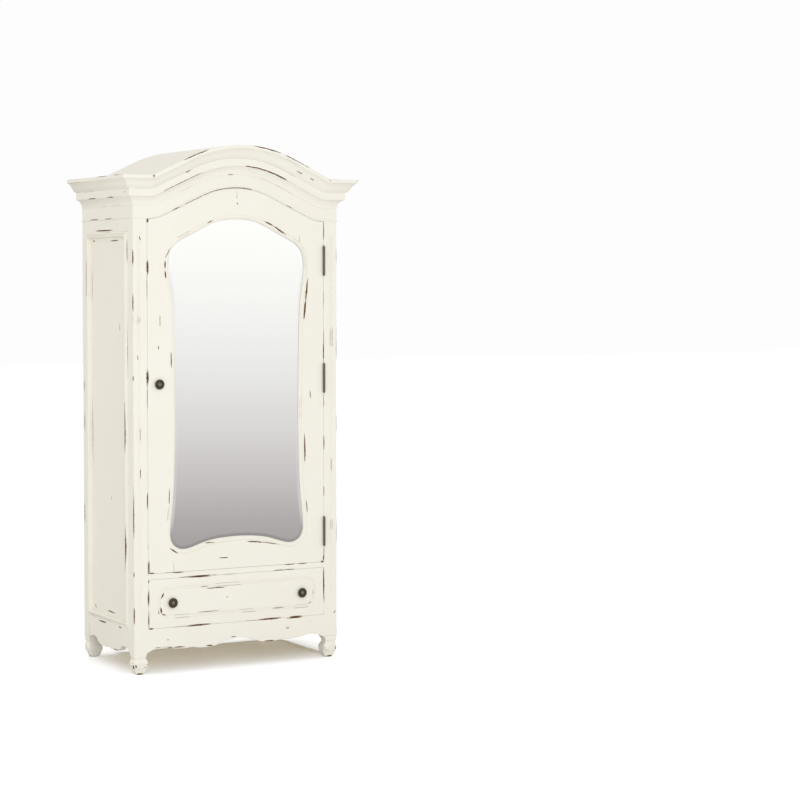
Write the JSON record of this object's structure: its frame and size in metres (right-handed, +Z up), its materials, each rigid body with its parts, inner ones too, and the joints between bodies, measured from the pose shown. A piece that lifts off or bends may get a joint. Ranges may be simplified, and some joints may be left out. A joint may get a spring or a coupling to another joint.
{
  "type": "mirrored wardrobe",
  "caption": "Tall painted wardrobe with an arched cornice, a shaped mirror in its one hinged door, inner shelves, a hanging rod and a deep drawer below.",
  "frame": {"origin": "on the floor, below the middle of the whole object's box", "axes": "+Z up, front faces -Y, +X to the right seen from the front, where the door is hinged"},
  "size_m": [1.038, 0.6, 2.1059],
  "materials": {
    "painted_wood": "satin",
    "interior_wood": "satin",
    "mirror_glass": "polished",
    "aged_bronze": "satin",
    "black_nylon": "satin"
  },
  "bodies": {
    "cabinet": {"left_front_post": "painted_wood", "right_front_post": "painted_wood", "left_back_post": "painted_wood", "right_back_post": "painted_wood", "left_front_foot": "painted_wood", "right_front_foot": "painted_wood", "left_back_foot": "painted_wood", "right_back_foot": "painted_wood", "left_side_top_rail": "painted_wood", "right_side_top_rail": "painted_wood", "left_side_bottom_rail": "painted_wood", "right_side_bottom_rail": "painted_wood", "left_side_panel": "painted_wood", "right_side_panel": "painted_wood", "left_panel_moulding": "painted_wood", "right_panel_moulding": "painted_wood", "back_bottom_rail": "painted_wood", "front_apron": "painted_wood", "front_mid_rail": "painted_wood", "arched_top_rail": "painted_wood", "roof_panel": "painted_wood", "front_cornice": "painted_wood", "left_cornice_return": "painted_wood", "right_cornice_return": "painted_wood", "frieze_bead": "painted_wood", "back_panel": "interior_wood", "ceiling_panel": "interior_wood", "cabinet_floor": "interior_wood", "lower_shelf": "interior_wood", "middle_shelf": "interior_wood", "upper_shelf": "interior_wood", "shelf_pins": "interior_wood", "rod_supports": "interior_wood", "hanging_rod": "interior_wood", "drawer_guides": "interior_wood", "catch_cases": "aged_bronze", "hinge_post_leaves": "aged_bronze", "hinge_pins": "aged_bronze", "hinge_post_screws": "aged_bronze"},
    "door": {"door_left_stile": "painted_wood", "door_right_stile": "painted_wood", "door_top_rail": "painted_wood", "door_bottom_rail": "painted_wood", "mirror_bead": "painted_wood", "door_back_panel": "painted_wood", "door_knob": "aged_bronze", "hinge_door_leaves": "aged_bronze", "hinge_door_screws": "aged_bronze", "catch_strikes": "aged_bronze", "mirror_glass": "mirror_glass"},
    "drawer": {"drawer_front": "painted_wood", "drawer_left_side": "interior_wood", "drawer_right_side": "interior_wood", "drawer_back": "interior_wood", "drawer_bottom": "interior_wood", "drawer_knobs": "aged_bronze"},
    "lower_bottom_roller": {"lower_catch_bottom_roller": "black_nylon"},
    "lower_top_roller": {"lower_catch_top_roller": "black_nylon"},
    "upper_left_roller": {"upper_catch_left_roller": "black_nylon"},
    "upper_right_roller": {"upper_catch_right_roller": "black_nylon"}
  },
  "joints": [
    {"name": "door_swing", "type": "hinge", "parent": "cabinet", "child": "door", "pos_m": [0.3925, -0.2392, 1.1], "axis": [0, 0, 1], "range_deg": [0, 170]},
    {"name": "drawer_slide", "type": "slide", "parent": "cabinet", "child": "drawer", "axis": [0, -1, 0], "range_m": [0, 0.3]},
    {"name": "lower_bottom_roller_travel", "type": "slide", "parent": "cabinet", "child": "lower_bottom_roller", "axis": [0, 0, -1], "range_m": [0, 0.0012], "stiffness_N_per_m": 2000, "springref_m": -0.0005},
    {"name": "lower_top_roller_travel", "type": "slide", "parent": "cabinet", "child": "lower_top_roller", "axis": [0, 0, 1], "range_m": [0, 0.0012], "stiffness_N_per_m": 2000, "springref_m": -0.0005},
    {"name": "upper_left_roller_travel", "type": "slide", "parent": "cabinet", "child": "upper_left_roller", "axis": [-1, 0, 0], "range_m": [0, 0.0012], "stiffness_N_per_m": 2000, "springref_m": -0.0005},
    {"name": "upper_right_roller_travel", "type": "slide", "parent": "cabinet", "child": "upper_right_roller", "axis": [1, 0, 0], "range_m": [0, 0.0012], "stiffness_N_per_m": 2000, "springref_m": -0.0005}
  ]
}
